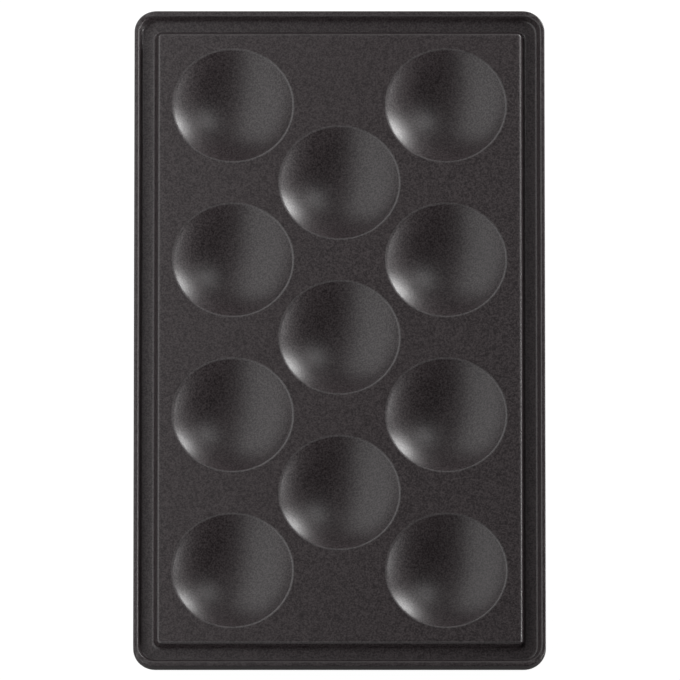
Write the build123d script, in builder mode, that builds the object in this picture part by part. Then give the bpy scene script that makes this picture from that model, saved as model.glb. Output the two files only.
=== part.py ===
"""A removable cooking plate for a two-slice sandwich and waffle maker.

The plate is one die casting in aluminium with a dark non-stick finish. Its upper side has a
thin rim, an overflow moat and a flat panel with eleven round wells in three staggered columns.
Its underside has a tapered boss under each well, a saddle that lies on the machine's tubular
heater, a locating skirt that the plate stands on when it is out of the machine, two tongues on
the hinge side and one catch on the latch side.

X runs across the plate, from the hinge side (-X) to the latch side (+X), Y runs along it, and Z
is up. The origin is on the surface that the plate lies on, under the middle of the plate.
All sizes are in millimetres and degrees.
"""

import os
from math import asin, cos, degrees, radians, sin, tan

from build123d import *

# Outline and rim
PLATE_WIDTH = 146.5
PLATE_LENGTH = 249.5
PLATE_HEIGHT = 12.0  # from the skirt's lower edge to the rim's top
PLATE_CORNER = 7.9
RIM_SIDE = 1.5  # top of the rim along the long sides
RIM_END = 1.8  # top of the rim along the short ends
RIM_ROUNDING = 0.45
LIP_HEIGHT = 4.3  # outer wall of the plate, from its top down to the seat
SEAT_LEDGE = 2.6  # width of the seat, which rests on the machine's bezel
SEAT_CHAMFER = 0.4
WALL = 2.6

# Overflow moat between the rim and the panel
MOAT_WIDTH = 7.1  # at its mouth
MOAT_DEPTH = 2.8
MOAT_DRAFT = 25.0
MOAT_FOOT_ROUNDING = 1.2
PANEL_CORNER = 1.3
PANEL_ROUNDING = 0.35

# Wells
WELL_RADIUS = 21.1  # at the mouth, before its lip is rounded
WELL_DEPTH = 7.2
WELL_WALL = 2.2  # least metal round the bowl, and under its deepest point
WELL_LIP = 0.6
WELL_PITCH_X = 38.0  # from one column to the next
WELL_PITCH_Y = 59.0  # from one well to the next in a column
SIDE_COLUMN_WELLS = 4
MIDDLE_COLUMN_WELLS = 3
BOSS_TAPER = 60.0  # of the boss under each bowl, from upright

# Saddle for the machine's tubular heater
HEATER_DIAMETER = 6.5
HEATER_CLEARANCE = 0.2
HEATER_AXIS = 3.7  # height of the heater's axis
HEATER_BEND_Y = 76.0  # centre of the loop's bend
HEATER_TAIL_Y = -100.0  # where the heater leaves the saddle
SADDLE_WIDTH = 11.5
SADDLE_FOOT = 3.7  # height of the saddle's lower faces

# Locating skirt
SKIRT_WALL = 2.4
SKIRT_DRAFT = 2.0

# Tongues on the hinge side and the catch on the latch side
BEZEL_SLOT = 2.2  # room for the bezel's sheet between the seat and a tongue or the catch
EDGE_COVER = 0.5  # how far the rim still stands out over the tongues and the catch
TONGUE_WIDTH = 16.0
TONGUE_THICKNESS = 2.6
TONGUE_SPACING = 118.0
TONGUE_CORNER = 0.8
CATCH_WIDTH = 32.0
CATCH_THICKNESS = 3.2
CATCH_LEAD_IN = 1.2

# Heights
SEAT = PLATE_HEIGHT - LIP_HEIGHT
MOAT_UNDERSIDE = PLATE_HEIGHT - MOAT_DEPTH - WALL
PANEL_UNDERSIDE = PLATE_HEIGHT - WALL
BOSS_FOOT = PLATE_HEIGHT - WELL_DEPTH - WELL_WALL

# Sizes that follow from the ones above
MOUTH_WIDTH = PLATE_WIDTH - 2 * RIM_SIDE
MOUTH_LENGTH = PLATE_LENGTH - 2 * RIM_END
MOUTH_CORNER = PLATE_CORNER - RIM_SIDE
PANEL_WIDTH = MOUTH_WIDTH - 2 * MOAT_WIDTH
PANEL_LENGTH = MOUTH_LENGTH - 2 * MOAT_WIDTH
POCKET_INSET = WALL / cos(radians(MOAT_DRAFT)) - (MOAT_DEPTH + WALL) * tan(radians(MOAT_DRAFT))
BOWL_RADIUS = (WELL_RADIUS**2 + WELL_DEPTH**2) / (2 * WELL_DEPTH)
BOWL_CENTRE = PLATE_HEIGHT - WELL_DEPTH + BOWL_RADIUS
BOSS_RADIUS = (
    BOWL_RADIUS + WELL_WALL - (BOWL_CENTRE - PANEL_UNDERSIDE) * sin(radians(BOSS_TAPER))
) / cos(radians(BOSS_TAPER))
HEATER_REACH = WELL_PITCH_X / 2
GROOVE_RADIUS = HEATER_DIAMETER / 2 + HEATER_CLEARANCE
SKIRT_WIDTH = PLATE_WIDTH - 2 * SEAT_LEDGE
SKIRT_LENGTH = PLATE_LENGTH - 2 * SEAT_LEDGE
SKIRT_CORNER = PLATE_CORNER - SEAT_LEDGE
TONGUE_TOP = SEAT - BEZEL_SLOT
TONGUE_END = PLATE_WIDTH / 2 - EDGE_COVER
SKIRT_CORE = SKIRT_WIDTH / 2 - SKIRT_WALL / 2

side_columns = GridLocations(2 * WELL_PITCH_X, WELL_PITCH_Y, 2, SIDE_COLUMN_WELLS)
middle_column = GridLocations(0, WELL_PITCH_Y, 1, MIDDLE_COLUMN_WELLS)
well_places = Locations(*side_columns, *middle_column)

# Space of one well: a bowl that is part of a ball, open above the panel
with BuildPart() as well_space:
    with BuildSketch(Plane.XZ):
        with BuildLine():
            bowl = CenterArc(
                (0, BOWL_CENTRE),
                BOWL_RADIUS,
                start_angle=-90,
                arc_size=degrees(asin(WELL_RADIUS / BOWL_RADIUS)),
            )
            Polyline(
                bowl @ 1,
                (WELL_RADIUS, PLATE_HEIGHT + WALL),
                (0, PLATE_HEIGHT + WALL),
                bowl @ 0,
            )
        make_face()
    revolve(axis=Axis.Z)

# Space of the moat: a tapered tray with the panel's tapered block left standing in it
with BuildPart() as moat_space:
    with BuildSketch(Plane.XY.offset(PLATE_HEIGHT)):
        RectangleRounded(MOUTH_WIDTH, MOUTH_LENGTH, MOUTH_CORNER)
    extrude(amount=-MOAT_DEPTH, taper=MOAT_DRAFT)
    with BuildSketch(Plane.XY.offset(PLATE_HEIGHT)):
        RectangleRounded(PANEL_WIDTH, PANEL_LENGTH, PANEL_CORNER)
    extrude(amount=-MOAT_DEPTH, taper=-MOAT_DRAFT, mode=Mode.SUBTRACT)
    fillet(faces().sort_by(Axis.Z)[0].edges(), radius=MOAT_FOOT_ROUNDING)

# Loop of the heater, seen from above: two legs between the columns of wells, and a bend
with BuildLine() as heater_loop:
    first_leg = Line((-HEATER_REACH, HEATER_TAIL_Y), (-HEATER_REACH, HEATER_BEND_Y))
    bend = ThreePointArc(
        first_leg @ 1,
        (0, HEATER_BEND_Y + HEATER_REACH),
        (HEATER_REACH, HEATER_BEND_Y),
    )
    Line(bend @ 1, (HEATER_REACH, HEATER_TAIL_Y))

with BuildPart() as cooking_plate:
    # Lip with its rounded rim
    with BuildSketch(Plane.XY.offset(SEAT)):
        RectangleRounded(PLATE_WIDTH, PLATE_LENGTH, PLATE_CORNER)
    extrude(amount=LIP_HEIGHT)
    chamfer(faces().sort_by(Axis.Z)[0].edges(), length=SEAT_CHAMFER)

    # Skirt, drafted so that the casting leaves its die
    with BuildSketch(Plane.XY.offset(SEAT)):
        RectangleRounded(SKIRT_WIDTH, SKIRT_LENGTH, SKIRT_CORNER)
    extrude(amount=-SEAT, taper=SKIRT_DRAFT)

    # Hollow under the moat and the panel
    with BuildSketch(Plane.XY.offset(MOAT_UNDERSIDE)):
        RectangleRounded(
            SKIRT_WIDTH - 2 * SKIRT_WALL,
            SKIRT_LENGTH - 2 * SKIRT_WALL,
            SKIRT_CORNER - SKIRT_WALL,
        )
    extrude(amount=-MOAT_UNDERSIDE, taper=-SKIRT_DRAFT, mode=Mode.SUBTRACT)
    with BuildSketch(Plane.XY.offset(MOAT_UNDERSIDE)):
        RectangleRounded(
            PANEL_WIDTH - 2 * POCKET_INSET,
            PANEL_LENGTH - 2 * POCKET_INSET,
            PANEL_CORNER,
        )
    extrude(amount=PANEL_UNDERSIDE - MOAT_UNDERSIDE, taper=MOAT_DRAFT, mode=Mode.SUBTRACT)

    # Tapered bosses under the bowls
    with BuildSketch(Plane.XY.offset(PANEL_UNDERSIDE)):
        with well_places:
            Circle(BOSS_RADIUS)
    extrude(amount=BOSS_FOOT - PANEL_UNDERSIDE, taper=BOSS_TAPER)

    # Saddle over the heater's loop, and the groove that the heater lies in
    with BuildSketch(Plane.XY.offset(SADDLE_FOOT)):
        add(heater_loop.line)
        trace(line_width=SADDLE_WIDTH)
    extrude(amount=PANEL_UNDERSIDE - SADDLE_FOOT)
    with BuildSketch(Plane((-HEATER_REACH, HEATER_TAIL_Y, HEATER_AXIS), z_dir=(0, 1, 0))):
        Circle(GROOVE_RADIUS)
    sweep(path=heater_loop.line.moved(Location((0, 0, HEATER_AXIS))), mode=Mode.SUBTRACT)

    # Tongues that slide under the machine's bezel, and the catch that its latch holds
    with BuildSketch(Plane.XY.offset(TONGUE_TOP - TONGUE_THICKNESS)):
        with GridLocations(0, TONGUE_SPACING, 1, 2):
            with Locations((-(SKIRT_CORE + TONGUE_END) / 2, 0)):
                Rectangle(TONGUE_END - SKIRT_CORE, TONGUE_WIDTH)
        fillet(vertices().group_by(Axis.X)[0], radius=TONGUE_CORNER)
    extrude(amount=TONGUE_THICKNESS)
    with BuildSketch(Plane.XZ):
        with Locations((SKIRT_CORE, TONGUE_TOP)):
            Rectangle(
                TONGUE_END - SKIRT_CORE,
                CATCH_THICKNESS,
                align=(Align.MIN, Align.MAX),
            )
        chamfer(vertices().sort_by(Axis.Y)[:2].sort_by(Axis.X)[-1], length=CATCH_LEAD_IN)
    extrude(amount=CATCH_WIDTH / 2, both=True)

    # Moat between the rim and the panel, then the rounded edges of both
    add(moat_space.part, mode=Mode.SUBTRACT)
    top_faces = faces().filter_by(Plane.XY).group_by(Axis.Z)[-1].sort_by(SortBy.AREA)
    rim_edges = top_faces[0].edges()
    panel_edges = top_faces[-1].edges()
    fillet(rim_edges, radius=RIM_ROUNDING)
    fillet(panel_edges, radius=PANEL_ROUNDING)

    # Wells, with the edge of each mouth broken
    with well_places:
        add(well_space.part, mode=Mode.SUBTRACT)
    panel_face = faces().filter_by(Plane.XY).group_by(Axis.Z)[-1].sort_by(SortBy.AREA)[-1]
    chamfer(panel_face.inner_wires().edges(), length=WELL_LIP)

cooking_plate.part.label = "cooking_plate"
os.makedirs("parts", exist_ok=True)
export_step(cooking_plate.part, "parts/cooking_plate.step")
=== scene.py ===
# %% [markdown]
# # A cast cooking plate, made in Blender
#
# This lesson dresses one removable plate of a sandwich and waffle maker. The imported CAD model
# gives its size and its place. The surfaces that show are worked out again here with numpy,
# because a fine grid carries soft highlights over a bowl better than the CAD's facets do.

# %% Load the frame
import math

import bmesh
import bpy
import numpy as np
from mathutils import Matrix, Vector
from mathutils.geometry import delaunay_2d_cdt


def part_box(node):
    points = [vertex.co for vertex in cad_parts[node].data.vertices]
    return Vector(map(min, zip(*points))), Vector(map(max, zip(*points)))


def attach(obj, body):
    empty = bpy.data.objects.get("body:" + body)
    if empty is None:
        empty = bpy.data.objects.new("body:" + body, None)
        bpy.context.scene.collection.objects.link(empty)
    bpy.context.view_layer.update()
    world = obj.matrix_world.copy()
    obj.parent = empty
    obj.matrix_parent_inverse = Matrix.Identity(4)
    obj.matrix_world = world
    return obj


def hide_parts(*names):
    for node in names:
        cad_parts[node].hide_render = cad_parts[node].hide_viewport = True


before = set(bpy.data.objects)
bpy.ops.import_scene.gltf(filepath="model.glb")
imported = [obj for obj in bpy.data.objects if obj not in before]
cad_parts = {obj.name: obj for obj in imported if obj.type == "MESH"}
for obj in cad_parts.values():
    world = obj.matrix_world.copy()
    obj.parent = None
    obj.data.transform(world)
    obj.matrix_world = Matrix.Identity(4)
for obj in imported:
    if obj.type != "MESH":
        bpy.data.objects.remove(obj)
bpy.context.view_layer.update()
plate_low, plate_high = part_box("cooking_plate")

# %% [markdown]
# The plate's sizes come first, in millimetres, as they stand in the CAD. Width, length and height
# are read from the frame, so that the new surfaces can't drift from it. Only the mouths of the
# wells are 0.3 mm wider in radius than in the CAD, because their lips are rolled further out.

# %% Sizes of the plate
PLATE_WIDTH = (plate_high.x - plate_low.x) * 1000
PLATE_LENGTH = (plate_high.y - plate_low.y) * 1000
TOP = plate_high.z * 1000
WALL = 2.6
RIM_SIDE, RIM_END = 1.5, 1.8
MOAT_WIDTH, MOAT_DEPTH, MOAT_DRAFT = 7.1, 2.8, math.radians(25)
LIP_HEIGHT, SEAT_LEDGE = 4.3, 2.6
SKIRT_WALL, SKIRT_DRAFT = 2.4, math.radians(2)
MOUTH_RADIUS, WELL_DEPTH, WELL_WALL, WELL_LIP = 21.4, 7.2, 2.2, 1.5
PITCH_X, PITCH_Y = 38.0, 59.0
BOWL_RADIUS = (MOUTH_RADIUS**2 + WELL_DEPTH**2) / (2 * WELL_DEPTH)
BOWL_CENTRE = TOP - WELL_DEPTH + BOWL_RADIUS
BOSS_TAPER = math.radians(60)
SEAT = TOP - LIP_HEIGHT
MOAT_UNDERSIDE = TOP - MOAT_DEPTH - WALL
PANEL_UNDERSIDE = TOP - WALL
BOSS_FOOT = TOP - WELL_DEPTH - WELL_WALL
MOAT_RUN = MOAT_DEPTH * math.tan(MOAT_DRAFT)
# The rows are counted from the middle of the plate
well_centres = np.array(
    [(x, (row - 1.5) * PITCH_Y) for x in (-PITCH_X, PITCH_X) for row in range(4)]
    + [(0.0, (row - 1.0) * PITCH_Y) for row in range(3)]
)
print("plate", round(PLATE_WIDTH, 2), "by", round(PLATE_LENGTH, 2), "mm,", len(well_centres), "wells")

# %% [markdown]
# A cast part has no sharp corner. The section of the rim could be drawn by hand, but a list of
# corners with a radius for each is easier to read and to change, as a toolmaker's drawing is.

# %% Helper: round the corners of a section
ARC_STEPS = 7


def rounded_section(corners, radii):
    """The open line through corners, with each inner corner replaced by the arc that touches both
    its sides. An arc starts a length r tan(turn / 2) before its corner, and its point at angle a is
    start + r sin(a) along the first side + r (1 - cos(a)) square to it."""
    p = np.asarray(corners, float)
    r = np.asarray(radii, float)[:, None]
    side = np.diff(p, axis=0)
    side /= np.linalg.norm(side, axis=1, keepdims=True)
    into, out = side[:-1], side[1:]
    turn = np.arccos(np.clip((into * out).sum(1, keepdims=True), -1, 1))
    square = (out - into * np.cos(turn)) / np.sin(turn)
    start = p[1:-1] - into * r * np.tan(turn / 2)
    a = turn * np.linspace(0, 1, ARC_STEPS)
    arcs = (
        start[:, None]
        + (r * np.sin(a))[..., None] * into[:, None]
        + (r * (1 - np.cos(a)))[..., None] * square[:, None]
    )
    return np.concatenate([p[:1], arcs.reshape(-1, 2), p[-1:]])


# %% [markdown]
# The rim, the moat and the panel's edge are one section that runs round the plate. Near the rim
# the corners are wide and near the panel they are tight, so the corner's radius is part of the
# section: each point of it has its own rounded rectangle.

# %% Helper: carry a section round the plate
CORNER_STEPS, SIDE_STEPS = 14, 6
corner_turn = np.linspace(0, math.pi / 2, CORNER_STEPS) + np.arange(4)[:, None] * math.pi / 2
corner_x = np.array([1, -1, -1, 1])[:, None]
corner_y = np.array([1, 1, -1, -1])[:, None]


def carried_round(inset, height, corner, end_inset):
    """Grid of points: row i is a rounded rectangle at height[i], drawn in by inset[i] from the
    plate's outline, and by end_inset[i] more at its ends, with corner radius corner[i]. A point is
    its corner's centre + radius (cos a, sin a), and straight runs join one corner to the next."""
    inset, height, corner, end_inset = (
        np.asarray(v, float)[:, None, None] for v in (inset, height, corner, end_inset)
    )
    half_x = PLATE_WIDTH / 2 - inset - corner
    half_y = PLATE_LENGTH / 2 - inset - end_inset - corner
    x = corner_x * half_x + corner * np.cos(corner_turn)
    y = corner_y * half_y + corner * np.sin(corner_turn)
    z = np.broadcast_to(height, x.shape)
    turns = np.stack([x, y, z], -1)
    along = (np.arange(1, SIDE_STEPS) / SIDE_STEPS)[:, None]
    ends = turns[:, :, -1:]
    starts = np.roll(turns, -1, axis=1)[:, :, :1]
    runs = ends * (1 - along) + starts * along
    return np.concatenate([turns, runs], axis=2).reshape(len(turns), -1, 3)


def ring_quads(rows, columns):
    """Corner numbers of the quads of a grid whose last column joins its first."""
    row, column = np.mgrid[0 : rows - 1, 0:columns]
    after = (column + 1) % columns
    near, far = row * columns, (row + 1) * columns
    return np.stack([near + column, near + after, far + after, far + column], -1).reshape(-1, 4)


# %% [markdown]
# The upper section starts on the flat panel, goes over its crisp edge, down into the moat, up the
# inside of the rim, over it and down the outer wall. Each of its corners has a rounding, and each
# of its places has a corner radius in the plan, which shrinks from the outline to the panel. The
# roundings of the panel's edge and of the rim's inner edge are wider than in the CAD, because the
# light that they catch is what draws these edges in the picture.

# %% Section of the upper side
PANEL_ROUNDING, FOOT_ROUNDING = 0.8, 1.2
RIM_INNER_ROUNDING, RIM_OUTER_ROUNDING = 0.7, 0.45
RIM_FLAT = [0.4, 1.1]  # insets of the rim's flat top, where it grows wider at the plate's ends
JOIN_HEIGHT = SEAT + 1.5  # on the outer wall, where the upper section meets the lower one
BORDER, BORDER_CORNER = 1.2, 0.1  # strip of flat that each section ends with
PLATE_CORNER, MOUTH_CORNER, PANEL_CORNER = 7.9, 6.4, 1.3
FLOOR_OUTER_CORNER, FLOOR_INNER_CORNER = 5.1, 2.6  # of the moat's floor
panel_edge = RIM_SIDE + MOAT_WIDTH
upper = rounded_section(
    [
        (panel_edge + BORDER, TOP),
        (panel_edge, TOP),
        (panel_edge - MOAT_RUN, TOP - MOAT_DEPTH),
        (RIM_SIDE + MOAT_RUN, TOP - MOAT_DEPTH),
        (RIM_SIDE, TOP),
        (0.0, TOP),
        (0.0, JOIN_HEIGHT),
    ],
    [PANEL_ROUNDING, FOOT_ROUNDING, FOOT_ROUNDING, RIM_INNER_ROUNDING, RIM_OUTER_ROUNDING],
)
upper_plan = [
    (0.0, PLATE_CORNER),
    (RIM_SIDE, MOUTH_CORNER),
    (RIM_SIDE + MOAT_RUN, FLOOR_OUTER_CORNER),
    (panel_edge - MOAT_RUN, FLOOR_INNER_CORNER),
    (panel_edge, PANEL_CORNER),
    (panel_edge + BORDER, BORDER_CORNER),
]
upper_corner = np.interp(upper[:, 0], *zip(*upper_plan))
upper_end = np.interp(upper[:, 0], RIM_FLAT, [0.0, RIM_END - RIM_SIDE])
print("upper section:", len(upper), "points")

# %% [markdown]
# The lower section goes on from there: the seat that rests on the machine, the skirt that drops
# into its opening, and the hollow under the moat and the panel. It could be left out, because it
# is hidden from above, but whoever turned the plate over would look into an empty shell.

# %% Section of the lower side
SEAT_ROUNDING, LEDGE_ROUNDING, SKIRT_ROUNDING = 0.4, 0.25, 0.4
HOLLOW_ROUNDING, POCKET_ROUNDING = 0.6, 0.8
SKIRT_CORNER, HOLLOW_CORNER = 5.3, 2.9
POCKET_CORNER, POCKET_TOP_CORNER = 1.6, 0.8  # of the raised part of the hollow
skirt_drop = SEAT * math.tan(SKIRT_DRAFT)
hollow_drop = MOAT_UNDERSIDE * math.tan(SKIRT_DRAFT)
pocket = panel_edge + WALL / math.cos(MOAT_DRAFT) - (MOAT_DEPTH + WALL) * math.tan(MOAT_DRAFT)
lower = rounded_section(
    [
        (0.0, JOIN_HEIGHT),
        (0.0, SEAT),
        (SEAT_LEDGE, SEAT),
        (SEAT_LEDGE + skirt_drop, 0.0),
        (SEAT_LEDGE + SKIRT_WALL - hollow_drop, 0.0),
        (SEAT_LEDGE + SKIRT_WALL, MOAT_UNDERSIDE),
        (pocket, MOAT_UNDERSIDE),
        (pocket + MOAT_RUN, PANEL_UNDERSIDE),
        (pocket + MOAT_RUN + BORDER, PANEL_UNDERSIDE),
    ],
    [SEAT_ROUNDING, LEDGE_ROUNDING, SKIRT_ROUNDING, SKIRT_ROUNDING]
    + [HOLLOW_ROUNDING, POCKET_ROUNDING, HOLLOW_ROUNDING],
)
lower_plan = [
    (0.0, PLATE_CORNER),
    (SEAT_LEDGE, SKIRT_CORNER),
    (SEAT_LEDGE + SKIRT_WALL, HOLLOW_CORNER),
    (pocket, POCKET_CORNER),
    (pocket + MOAT_RUN, POCKET_TOP_CORNER),
    (pocket + MOAT_RUN + BORDER, BORDER_CORNER),
]
lower_corner = np.interp(lower[:, 0], *zip(*lower_plan))
lower_end = np.interp(lower[:, 0], [SEAT_LEDGE + SKIRT_WALL, pocket], [0.0, RIM_END - RIM_SIDE])
print("lower section:", len(lower), "points")

# %% [markdown]
# The two sections are joined and carried round the plate as one grid of points, so the wall
# where they meet has no seam.

# %% Both sections carried round the plate
edge_profile = np.concatenate([upper, lower[1:]])
edge_grid = carried_round(
    edge_profile[:, 0],
    edge_profile[:, 1],
    np.concatenate([upper_corner, lower_corner[1:]]),
    np.concatenate([upper_end, lower_end[1:]]),
)
print("rim and moat:", edge_grid.shape[0], "by", edge_grid.shape[1], "points")

# %% [markdown]
# Each well is part of a ball, and its mouth rolls over into the panel. It could be cut with a
# sphere and a Boolean, which leaves ragged facets along the cut. A turned section, like a potter's
# bowl, gives rings that follow the mouth, and the light runs round them without a break.

# %% Section of a well, and the turning of it
WELL_RINGS, LIP_RINGS, AROUND = 30, 9, 96
FLAT_RING = 0.25  # strip of flat round each lip


def turned(section, centres):
    """Grids of points, one for each centre: each point (r, z) of the section goes round a circle,
    so a point is centre + r (cos a, sin a) at height z."""
    a = np.linspace(0, 2 * math.pi, AROUND, endpoint=False)
    r, z = section[:, :1], section[:, 1:]
    x = centres[:, 0, None, None] + r * np.cos(a)
    y = centres[:, 1, None, None] + r * np.sin(a)
    return np.stack([x, y, np.broadcast_to(z, x.shape)], -1)


lip_r = math.sqrt((BOWL_RADIUS + WELL_LIP) ** 2 - (BOWL_CENTRE - TOP + WELL_LIP) ** 2)
lip_from = math.asin(lip_r / (BOWL_RADIUS + WELL_LIP))
bowl_angle = np.linspace(0, lip_from, WELL_RINGS)
bowl_section = np.stack(
    [BOWL_RADIUS * np.sin(bowl_angle), BOWL_CENTRE - BOWL_RADIUS * np.cos(bowl_angle)], -1
)
lip_angle = np.linspace(lip_from, 0, LIP_RINGS)[1:]
lip_section = np.stack(
    [lip_r - WELL_LIP * np.sin(lip_angle), TOP - WELL_LIP + WELL_LIP * np.cos(lip_angle)], -1
)
well_ring = lip_r + FLAT_RING
well_section = np.concatenate([bowl_section, lip_section, [[well_ring, TOP]]])
wells = turned(well_section, well_centres)
print("well: ball radius", round(BOWL_RADIUS, 2), "mm, lip out to", round(lip_r, 2), "mm")

# %% [markdown]
# Under each bowl stands a tapered boss that ends in a flat. Its cone touches a ball one wall
# thicker than the bowl, so the metal is nowhere thinner than that wall.

# %% Bosses on the underside
BOSS_EDGE_ROUNDING, BOSS_ROOT_ROUNDING = 0.6, 0.8
BOSS_BORDER = 1.0  # strip of flat round each boss
boss_top = (
    BOWL_RADIUS + WELL_WALL - (BOWL_CENTRE - PANEL_UNDERSIDE) * math.sin(BOSS_TAPER)
) / math.cos(BOSS_TAPER)
boss_foot = boss_top - (PANEL_UNDERSIDE - BOSS_FOOT) * math.tan(BOSS_TAPER)
boss_ring = boss_top + BOSS_BORDER
boss_section = rounded_section(
    [
        (0.0, BOSS_FOOT),
        (boss_foot, BOSS_FOOT),
        (boss_top, PANEL_UNDERSIDE),
        (boss_ring, PANEL_UNDERSIDE),
    ],
    [BOSS_EDGE_ROUNDING, BOSS_ROOT_ROUNDING],
)
boss_section = np.insert(boss_section, 1, [[boss_foot / 2, BOSS_FOOT]], axis=0)
bosses = turned(boss_section, well_centres)
print("boss:", round(boss_top, 2), "mm at the panel,", round(boss_foot, 2), "mm at its flat")

# %% [markdown]
# The panel between the wells is flat, so any mesh will do there as long as it meets the rings
# exactly. Delaunay triangles join the given points and add none.

# %% Helper: fill a flat between an outline and round holes
INSIDE_OUTLINE = 1  # kind of result: only the triangles inside the outline
SAME_POINT = 1e-6  # mm
NEAREST = 0.999  # the chords of a ring stay outside this share of its radius


def flat_between(outline, holes, centres, radius):
    """The flat as (points, triangles). The triangles join the outline to the holes' rings, and
    those whose middle is nearer to a centre than the hole's radius are left out."""
    points = np.concatenate([outline, holes.reshape(-1, 3)])
    n, m = len(outline), holes.shape[1]
    ring = n + np.arange(len(holes))[:, None] * m + np.arange(m)
    ring_edges = np.stack([ring, np.roll(ring, -1, axis=1)], -1).reshape(-1, 2)
    border = np.stack([np.arange(n), np.roll(np.arange(n), -1)], -1)
    edges = np.concatenate([border, ring_edges]).tolist()
    plan = [Vector(p) for p in points[:, :2].tolist()]
    filled = delaunay_2d_cdt(plan, edges, [], INSIDE_OUTLINE, SAME_POINT)
    placed, triangles = np.array(filled[0]), np.array(filled[2])
    middle = placed[triangles].mean(axis=1)
    reach = np.linalg.norm(middle[:, None] - centres[None], axis=2).min(axis=1)
    height = np.full((len(placed), 1), outline[0, 2])
    return np.concatenate([placed, height], axis=1), triangles[reach > radius * NEAREST]


panel_flat = flat_between(edge_grid[0], wells[:, -1], well_centres, well_ring)
under_flat = flat_between(edge_grid[-1], bosses[:, -1], well_centres, boss_ring)
print("panel:", len(panel_flat[1]), "triangles, underside:", len(under_flat[1]))

# %% [markdown]
# The saddle on the underside lies over the machine's heater tube. It is a bar with a half-round
# groove, carried along two straight legs and round a half turn. The path and the direction across
# it are worked out first, and the section is laid on them.

# %% Path of the heater
HEATER_REACH, BEND_Y, TAIL_Y = PITCH_X / 2, 76.0, -100.0
LEG_STEPS, BEND_STEPS = 89, 49
leg = np.linspace(TAIL_Y, BEND_Y, LEG_STEPS + 1)[:-1]
bend = np.linspace(math.pi, 0, BEND_STEPS)
path = np.concatenate(
    [
        np.stack([np.full_like(leg, -HEATER_REACH), leg], -1),
        np.stack([HEATER_REACH * np.cos(bend), BEND_Y + HEATER_REACH * np.sin(bend)], -1),
        np.stack([np.full_like(leg, HEATER_REACH), leg[::-1]], -1),
    ]
)
outward = np.concatenate(
    [
        np.broadcast_to((-1.0, 0.0), (LEG_STEPS, 2)),
        np.stack([np.cos(bend), np.sin(bend)], -1),
        np.broadcast_to((1.0, 0.0), (LEG_STEPS, 2)),
    ]
)
print("heater's path:", len(path), "stations")

# %% [markdown]
# The saddle's top has to end inside the metal. That is half way through the panel, and under a
# bowl it is half way through the bowl's wall, so that the saddle never breaks into a bowl.

# %% Saddle over the heater
SADDLE_HALF, SADDLE_FOOT, GROOVE = 5.75, 3.7, 3.45
GROOVE_STEPS, TOP_STEPS = 25, 13
groove_angle = np.linspace(math.pi, 0, GROOVE_STEPS)
across = np.concatenate(
    [
        [-SADDLE_HALF],
        GROOVE * np.cos(groove_angle),
        [SADDLE_HALF],
        np.linspace(SADDLE_HALF, -SADDLE_HALF, TOP_STEPS),
    ]
)
rise = np.concatenate([[0.0], GROOVE * np.sin(groove_angle), [0.0], np.zeros(TOP_STEPS)])
saddle_plan = path[:, None] + outward[:, None] * across[None, :, None]
from_wells = np.linalg.norm(saddle_plan[:, :, None] - well_centres, axis=3).min(axis=2)
in_metal = BOWL_RADIUS + WELL_WALL / 2
under_bowl = BOWL_CENTRE - np.sqrt(np.maximum(in_metal**2 - from_wells**2, 0.0))
saddle_top = np.where(from_wells < in_metal, under_bowl, np.inf)
saddle_top = saddle_top.clip(None, PANEL_UNDERSIDE + WALL / 2)
on_top = np.arange(len(across)) >= GROOVE_STEPS + 2
saddle_height = np.where(on_top, saddle_top, SADDLE_FOOT + rise)
saddle = np.concatenate([saddle_plan, saddle_height[..., None]], axis=2)
print("saddle:", saddle.shape[0], "stations of", saddle.shape[1], "points")

# %% [markdown]
# Two tongues and a catch hold the plate in the machine. They are short bars under the rim, so a
# section pulled straight along the plate's side is all that they need.

# %% Tongues and catch
EDGE_COVER, BEZEL_SLOT = 0.5, 2.2
TONGUE_THICKNESS, TONGUE_WIDTH, TONGUE_CUT, TONGUE_Y = 2.6, 16.0, 0.4, 59.0
CATCH_THICKNESS, CATCH_WIDTH, CATCH_CUT = 3.2, 32.0, 1.2
hold_in = PLATE_WIDTH / 2 - SEAT_LEDGE - SKIRT_WALL / 2
hold_out = PLATE_WIDTH / 2 - EDGE_COVER
hold_top = SEAT - BEZEL_SLOT


def bar(x_in, x_out, thickness, cut, y_middle, width):
    """Two rows of points: the section's outline at each end of a bar that runs along Y. The lower
    outer corner is cut off by the length cut."""
    z_low = hold_top - thickness
    section = np.array(
        [
            (x_in, z_low),
            (x_out - math.copysign(cut, x_out), z_low),
            (x_out, z_low + cut),
            (x_out, hold_top),
            (x_in, hold_top),
        ]
    )
    y = y_middle + np.array([-0.5, 0.5]) * width
    rows = np.broadcast_to(section, (2, *section.shape))
    return np.stack([rows[..., 0], np.broadcast_to(y[:, None], rows.shape[:2]), rows[..., 1]], -1)


bars = [
    bar(-hold_in, -hold_out, TONGUE_THICKNESS, TONGUE_CUT, -TONGUE_Y, TONGUE_WIDTH),
    bar(-hold_in, -hold_out, TONGUE_THICKNESS, TONGUE_CUT, TONGUE_Y, TONGUE_WIDTH),
    bar(hold_in, hold_out, CATCH_THICKNESS, CATCH_CUT, 0.0, CATCH_WIDTH),
]
print("bars under the rim:", len(bars))

# %% [markdown]
# All of this is one casting, so it becomes one mesh. Every part is laid in as an array, the rings
# that meet are merged, and the faces are turned outwards.

# %% Helpers: parts of a mesh, and the mesh
MERGE_WITHIN, NO_LENGTH = 2e-7, 1e-8  # metres


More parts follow.
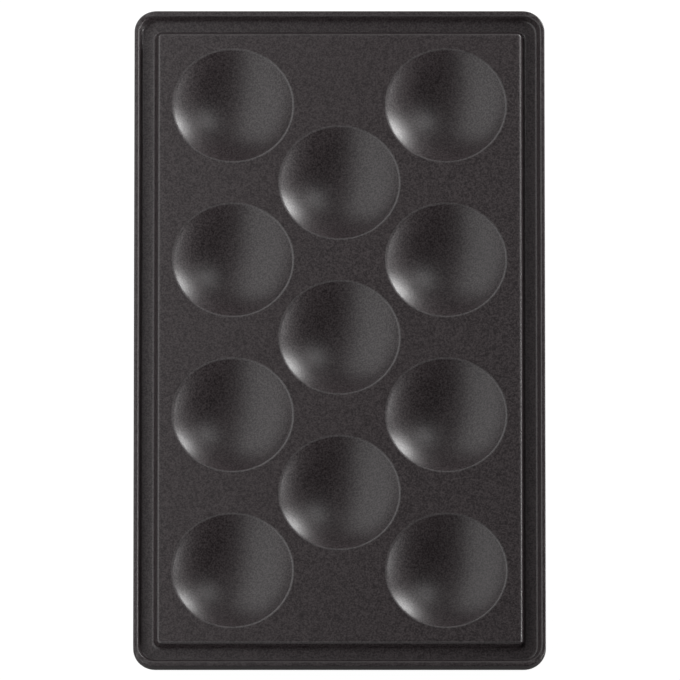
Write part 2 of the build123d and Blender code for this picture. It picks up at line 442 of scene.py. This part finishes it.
def part_mesh(name, parts):
    """One mesh object from a list of (points in mm, blocks of faces). Points that coincide are
    merged, and the normals are worked out so that they face outwards."""
    mesh = bpy.data.meshes.new(name)
    points = [p.reshape(-1, 3) for p, _ in parts]
    firsts = np.cumsum([0] + [len(p) for p in points])
    faces = [
        face
        for (_, blocks), first in zip(parts, firsts)
        for block in blocks
        for face in (block + first).tolist()
    ]
    mesh.from_pydata((np.concatenate(points) / 1000).tolist(), [], faces)
    shaped = bmesh.new()
    shaped.from_mesh(mesh)
    bmesh.ops.remove_doubles(shaped, verts=shaped.verts, dist=MERGE_WITHIN)
    bmesh.ops.dissolve_degenerate(shaped, edges=shaped.edges, dist=NO_LENGTH)
    bmesh.ops.recalc_face_normals(shaped, faces=shaped.faces)
    open_edges = sum(not e.is_manifold for e in shaped.edges)
    shaped.to_mesh(mesh)
    shaped.free()
    made = bpy.data.objects.new(name, mesh)
    bpy.context.scene.collection.objects.link(made)
    print(name, len(mesh.polygons), "faces,", open_edges, "open edges")
    return made


def ring_part(grid):
    """A grid that closes on itself, as (points, blocks of faces)."""
    return grid, [ring_quads(*grid.shape[:2])]


def bar_part(rows):
    """A bar of any length whose section is closed, with both ends capped."""
    n, m = rows.shape[:2]
    near_cap = np.arange(m)[None]
    far_cap = (n - 1) * m + np.arange(m)[None, ::-1]
    return rows, [ring_quads(n, m), near_cap, far_cap]


# %% [markdown]
# The finished casting takes the place of the CAD's plate. It is shaded smooth, because its edges
# are rounded in the mesh itself.

# %% Put the casting together
casting_parts = [
    ring_part(edge_grid),
    (panel_flat[0], [panel_flat[1]]),
    (under_flat[0], [under_flat[1]]),
    *[ring_part(grid) for grid in (*wells, *bosses)],
    *[bar_part(rows) for rows in (saddle, *bars)],
]
casting = part_mesh("plate_casting", casting_parts)
casting.data.polygons.foreach_set("use_smooth", np.ones(len(casting.data.polygons), bool))
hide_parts("cooking_plate")
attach(casting, "root")
print("parts in the casting:", len(casting_parts))

# %% [markdown]
# The finish is a dark non-stick coating, baked on in thin layers. Seen close, it has a fine sandy
# grain, because the casting is blasted first. It is a plain plastic-like surface with little shine
# from above and much more at a low angle, which the shader's own Fresnel gives.

# %% The coating's shader, and a helper for its noise
COATING_IOR = 1.45
FINER_SHARE = 0.55  # strength that each finer layer of noise keeps
coating = bpy.data.materials.new("speckled_coating")
coating.use_nodes = True
nodes, links = coating.node_tree.nodes, coating.node_tree.links
nodes.clear()
out = nodes.new("ShaderNodeOutputMaterial")
shader = nodes.new("ShaderNodeBsdfPrincipled")
links.new(shader.outputs["BSDF"], out.inputs["Surface"])
shader.inputs["IOR"].default_value = COATING_IOR
where = nodes.new("ShaderNodeTexCoord")


def noise(waves, detail):
    """Noise in the object's own space, from 0 to 1. Waves is counted per metre, and detail is the
    number of finer layers."""
    made = nodes.new("ShaderNodeTexNoise")
    made.inputs["Scale"].default_value = waves
    made.inputs["Detail"].default_value = detail
    made.inputs["Roughness"].default_value = FINER_SHARE
    links.new(where.outputs["Object"], made.inputs["Vector"])
    return made.outputs["Fac"]


print("coating's shader:", shader.name)

# %% [markdown]
# One noise gives both the colour and the height of the grain, so that each pale speck is also a
# small bump. A second, coarser one makes the gloss uneven, as a sprayed coat is.

# %% Grain and gloss of the coating
GRAIN_WAVES, GRAIN_DETAIL = 1700, 2.0
GLOSS_WAVES, GLOSS_DETAIL = 900, 3.0
DARK_GRAIN, PALE_GRAIN = (0.0100, 0.0066, 0.0076), (0.0470, 0.0388, 0.0406)
DARK_BELOW, PALE_ABOVE = 0.36, 0.64
SMOOTHEST, ROUGHEST = 0.33, 0.41
GRAIN_STRENGTH, GRAIN_HEIGHT = 0.4, 0.00006  # the height is in metres
grain = noise(GRAIN_WAVES, GRAIN_DETAIL)
tone = nodes.new("ShaderNodeValToRGB")
for element, position, colour in zip(
    tone.color_ramp.elements, (DARK_BELOW, PALE_ABOVE), (DARK_GRAIN, PALE_GRAIN)
):
    element.position = position
    element.color = (*colour, 1.0)
links.new(grain, tone.inputs["Fac"])
links.new(tone.outputs["Color"], shader.inputs["Base Color"])
gloss = nodes.new("ShaderNodeMapRange")
links.new(noise(GLOSS_WAVES, GLOSS_DETAIL), gloss.inputs["Value"])
gloss.inputs["To Min"].default_value = SMOOTHEST
gloss.inputs["To Max"].default_value = ROUGHEST
links.new(gloss.outputs["Result"], shader.inputs["Roughness"])
bump = nodes.new("ShaderNodeBump")
bump.inputs["Strength"].default_value = GRAIN_STRENGTH
bump.inputs["Distance"].default_value = GRAIN_HEIGHT
links.new(grain, bump.inputs["Height"])
links.new(bump.outputs["Normal"], shader.inputs["Normal"])
casting.data.materials.append(coating)
print("coating:", len(nodes), "nodes")

# %% [markdown]
# A sprayed coating draws back from an edge before it is baked, so it is thinner there, a little
# shinier and a little paler. Most of the paleness given here is painted highlight: it draws the
# fine light line round each well and along the panel and the rim. The edges could be painted by
# hand, but a changed copy of the same material keeps the grain.

# %% Thin coating and painted highlight for the edges
THIN_COAT_AND_HIGHLIGHT_GREYS = (0.026, 0.058)
HIGHLIGHT_RED, HIGHLIGHT_BLUE = 1.12, 1.03  # times the grey
THIN_SHINE = 0.6
thin_coat_with_painted_highlight = coating.copy()
thin_coat_with_painted_highlight.name = "thin_coating_and_painted_highlight_on_edges"
# The paler greys paint the edges' highlight lines, on top of the thinner coat's own slight paleness.
for element, grey in zip(thin_coat_with_painted_highlight.node_tree.nodes[tone.name].color_ramp.elements, THIN_COAT_AND_HIGHLIGHT_GREYS):
    element.color = (grey * HIGHLIGHT_RED, grey, grey * HIGHLIGHT_BLUE, 1.0)
thin_coat_with_painted_highlight.node_tree.nodes[shader.name].inputs["Specular IOR Level"].default_value = THIN_SHINE
casting.data.materials.append(thin_coat_with_painted_highlight)
print("thin coating:", len(thin_coat_with_painted_highlight.node_tree.nodes), "nodes")

# %% [markdown]
# The faces that get it are found by their place: a narrow band on each lip, one on the panel's edge
# and one on the rim's inner edge, all close to the top.

# %% Faces with the thin coating and painted highlight
LIP_BAND, LIP_SLACK = 0.75, 0.01
PANEL_BAND_MIDDLE, PANEL_BAND = 0.15, 0.4  # counted inwards from the panel's edge
RIM_BAND = 0.35
BAND_DEPTH = 0.7  # below the plate's top
middles = np.empty(len(casting.data.polygons) * 3)
casting.data.polygons.foreach_get("center", middles)
middles = middles.reshape(-1, 3) * 1000
from_centre = np.linalg.norm(middles[:, None, :2] - well_centres, axis=2).min(axis=1)
on_lip = (from_centre > lip_r - LIP_BAND) & (from_centre < lip_r + LIP_SLACK)
side = PLATE_WIDTH / 2 - np.abs(middles[:, 0])
end = PLATE_LENGTH / 2 - np.abs(middles[:, 1])
inset = np.minimum(side, end - (RIM_END - RIM_SIDE))
on_panel_edge = np.abs(inset - panel_edge - PANEL_BAND_MIDDLE) < PANEL_BAND
on_rim_edge = np.abs(inset - RIM_SIDE) < RIM_BAND
# The paler faces, where the highlight along the edges is painted in.
pale = (on_lip | on_panel_edge | on_rim_edge) & (middles[:, 2] > TOP - BAND_DEPTH)
casting.data.polygons.foreach_set("material_index", pale.astype(np.int32))
print("pale edges:", int(pale.sum()), "faces")

# %% [markdown]
# The plate lies on white paper in a plain studio. The paper could be a curved sheet, but with a
# white room behind it a wide flat floor shows hardly any end.

# %% Floor
HALF_FLOOR = 6.0
FLOOR_TURN = ((-1, -1), (1, -1), (1, 1), (-1, 1))
floor_mesh = bpy.data.meshes.new("studio_floor")
floor_corners = [(x * HALF_FLOOR, y * HALF_FLOOR, 0.0) for x, y in FLOOR_TURN]
floor_mesh.from_pydata(floor_corners, [], [(0, 1, 2, 3)])
floor = bpy.data.objects.new("studio_floor", floor_mesh)
bpy.context.scene.collection.objects.link(floor)
print("floor:", 2 * HALF_FLOOR, "m square")

# %% [markdown]
# Paper that is lit to pure white would throw its light back on the plate from below, so it is a
# middle grey to the plate and glows white to the camera. Something polished or clear would show
# its glow too. A share of the lit paper stays in the mix, so the soft shadow round the plate is
# kept.

# %% White paper
GLOW, GLOW_SHARE, MIRRORED_GLOW = 1.1, 0.88, 0.08
PAPER_GREY, PALER_TO_CAMERA = 0.2, 0.6
paper = bpy.data.materials.new("white_paper")
paper.use_nodes = True
nodes, links = paper.node_tree.nodes, paper.node_tree.links
nodes.clear()
out = nodes.new("ShaderNodeOutputMaterial")
matt = nodes.new("ShaderNodeBsdfDiffuse")
glow = nodes.new("ShaderNodeEmission")
glow.inputs["Color"].default_value = (1, 1, 1, 1)
glow.inputs["Strength"].default_value = GLOW
rays = nodes.new("ShaderNodeLightPath")


def maths(operation, first, second):
    """A node that joins two values, where each is a socket or a number."""
    made = nodes.new("ShaderNodeMath")
    made.operation = operation
    for socket, value in zip(made.inputs, (first, second)):
        if isinstance(value, float):
            socket.default_value = value
        else:
            links.new(value, socket)
    return made.outputs[0]


to_camera = maths("MULTIPLY", rays.outputs["Is Camera Ray"], PALER_TO_CAMERA)
links.new(maths("ADD", to_camera, PAPER_GREY), matt.inputs["Color"])
straight = maths("MAXIMUM", rays.outputs["Is Camera Ray"], rays.outputs["Is Transmission Ray"])
mirrored = maths("MULTIPLY", rays.outputs["Is Glossy Ray"], MIRRORED_GLOW)
share = maths("MULTIPLY", maths("MAXIMUM", straight, mirrored), GLOW_SHARE)
blend = nodes.new("ShaderNodeMixShader")
links.new(share, blend.inputs["Fac"])
links.new(matt.outputs[0], blend.inputs[1])
links.new(glow.outputs[0], blend.inputs[2])
links.new(blend.outputs[0], out.inputs["Surface"])
floor.data.materials.append(paper)
print("paper:", len(nodes), "nodes")

# %% [markdown]
# Round the plate is a dim grey room, so that its dark coating keeps some tone away from the lamps.
# The camera sees the room as white, like the paper.

# %% World
ROOM_LIGHT, CAMERA_WHITE = 0.04, 1.0
world = bpy.data.worlds.new("studio")
bpy.context.scene.world = world
world.use_nodes = True
nodes, links = world.node_tree.nodes, world.node_tree.links
nodes.clear()
out = nodes.new("ShaderNodeOutputWorld")
room = nodes.new("ShaderNodeBackground")
white = nodes.new("ShaderNodeBackground")
for shade, strength in ((room, ROOM_LIGHT), (white, CAMERA_WHITE)):
    shade.inputs["Color"].default_value = (1, 1, 1, 1)
    shade.inputs["Strength"].default_value = strength
rays = nodes.new("ShaderNodeLightPath")
blend = nodes.new("ShaderNodeMixShader")
links.new(rays.outputs["Is Camera Ray"], blend.inputs["Fac"])
links.new(room.outputs[0], blend.inputs[1])
links.new(white.outputs[0], blend.inputs[2])
links.new(blend.outputs[0], out.inputs["Surface"])
print("world:", len(nodes), "nodes")

# %% [markdown]
# The lamps are read off the wells. Each bowl is a small curved mirror and shows the whole room: a
# wide soft panel on the left makes the pale patch in its right half, small lamps behind on the
# right make the bright crescent at its lower left, and low lamps on the right and in front light
# the edges that face them. Overhead it is dark.

# %% Lamps
# Name, azimuth and elevation in degrees, distance, width and height in metres, and watts
LAMPS = [
    ("soft_panel_left", 174.0, 48.6, 0.42, 1.26, 0.4, 3.1),
    ("small_lamp", 56, 44.3, 1.0, 0.23, 0.23, 1.33),
    ("low_key", 48.9, 8, 0.58, 0.16, 0.11, 2.2),
    ("low_front", 245, 8, 1.0, 1.3, 0.2, 1.3),
    ("low_strip_right", 358, 8.5, 1.0, 0.8, 0.16, 9.6),
    ("second_key", 47, 20, 1.0, 0.14, 0.10, 0.45),
]


def lamp(name, azimuth, elevation, distance, width, height, watts):
    """A soft lamp, a rectangle that faces the plate. Azimuth is counted from +X towards +Y."""
    a, e = math.radians(azimuth), math.radians(elevation)
    direction = Vector((math.cos(a) * math.cos(e), math.sin(a) * math.cos(e), math.sin(e)))
    light = bpy.data.lights.new(name, "AREA")
    light.shape = "RECTANGLE"
    light.size, light.size_y = width, height
    light.energy = watts
    made = bpy.data.objects.new(name, light)
    made.location = direction * distance
    made.rotation_mode = "QUATERNION"
    made.rotation_quaternion = direction.to_track_quat("Z", "Y")
    bpy.context.scene.collection.objects.link(made)


for row in LAMPS:
    lamp(*row)
print("lamps:", len(LAMPS))

# %% [markdown]
# The photograph shows no perspective: the plate is as wide at its far end as at its near end. A
# very long lens from far away does the same. The camera looks down at the plate from its near end.

# %% Camera
PHOTO_WIDTH, METRES_PER_PIXEL = 680, 0.0003562
LENS, SENSOR = 1700, 36  # millimetres
CLIP_NEAR, CLIP_FAR = 0.1, 50
AIM_RIGHT, AIM_BELOW_TOP = 0.00017, 0.0028  # metres, which centre the plate in the picture
tilt = math.radians(69.3)  # how far the camera looks down
camera_data = bpy.data.cameras.new("camera")
camera = bpy.data.objects.new("camera", camera_data)
bpy.context.scene.collection.objects.link(camera)
bpy.context.scene.camera = camera
camera_data.lens = LENS
camera_data.sensor_width = SENSOR
camera_data.clip_start, camera_data.clip_end = CLIP_NEAR, CLIP_FAR
target = Vector((AIM_RIGHT, 0.0, TOP / 1000 - AIM_BELOW_TOP))
back = Vector((0.0, -math.cos(tilt), math.sin(tilt)))
camera_distance = PHOTO_WIDTH * METRES_PER_PIXEL * LENS / SENSOR
camera.location = target + back * camera_distance
camera.rotation_mode = "QUATERNION"
camera.rotation_quaternion = (-back).to_track_quat("-Z", "Y")
print("camera", round(camera_distance, 3), "m away")

# %% [markdown]
# The picture is shown as it is worked out, with no film look, so that white paper stays white and
# the dark coating keeps its tone.

# %% Look
bpy.context.scene.view_settings.view_transform = "Standard"
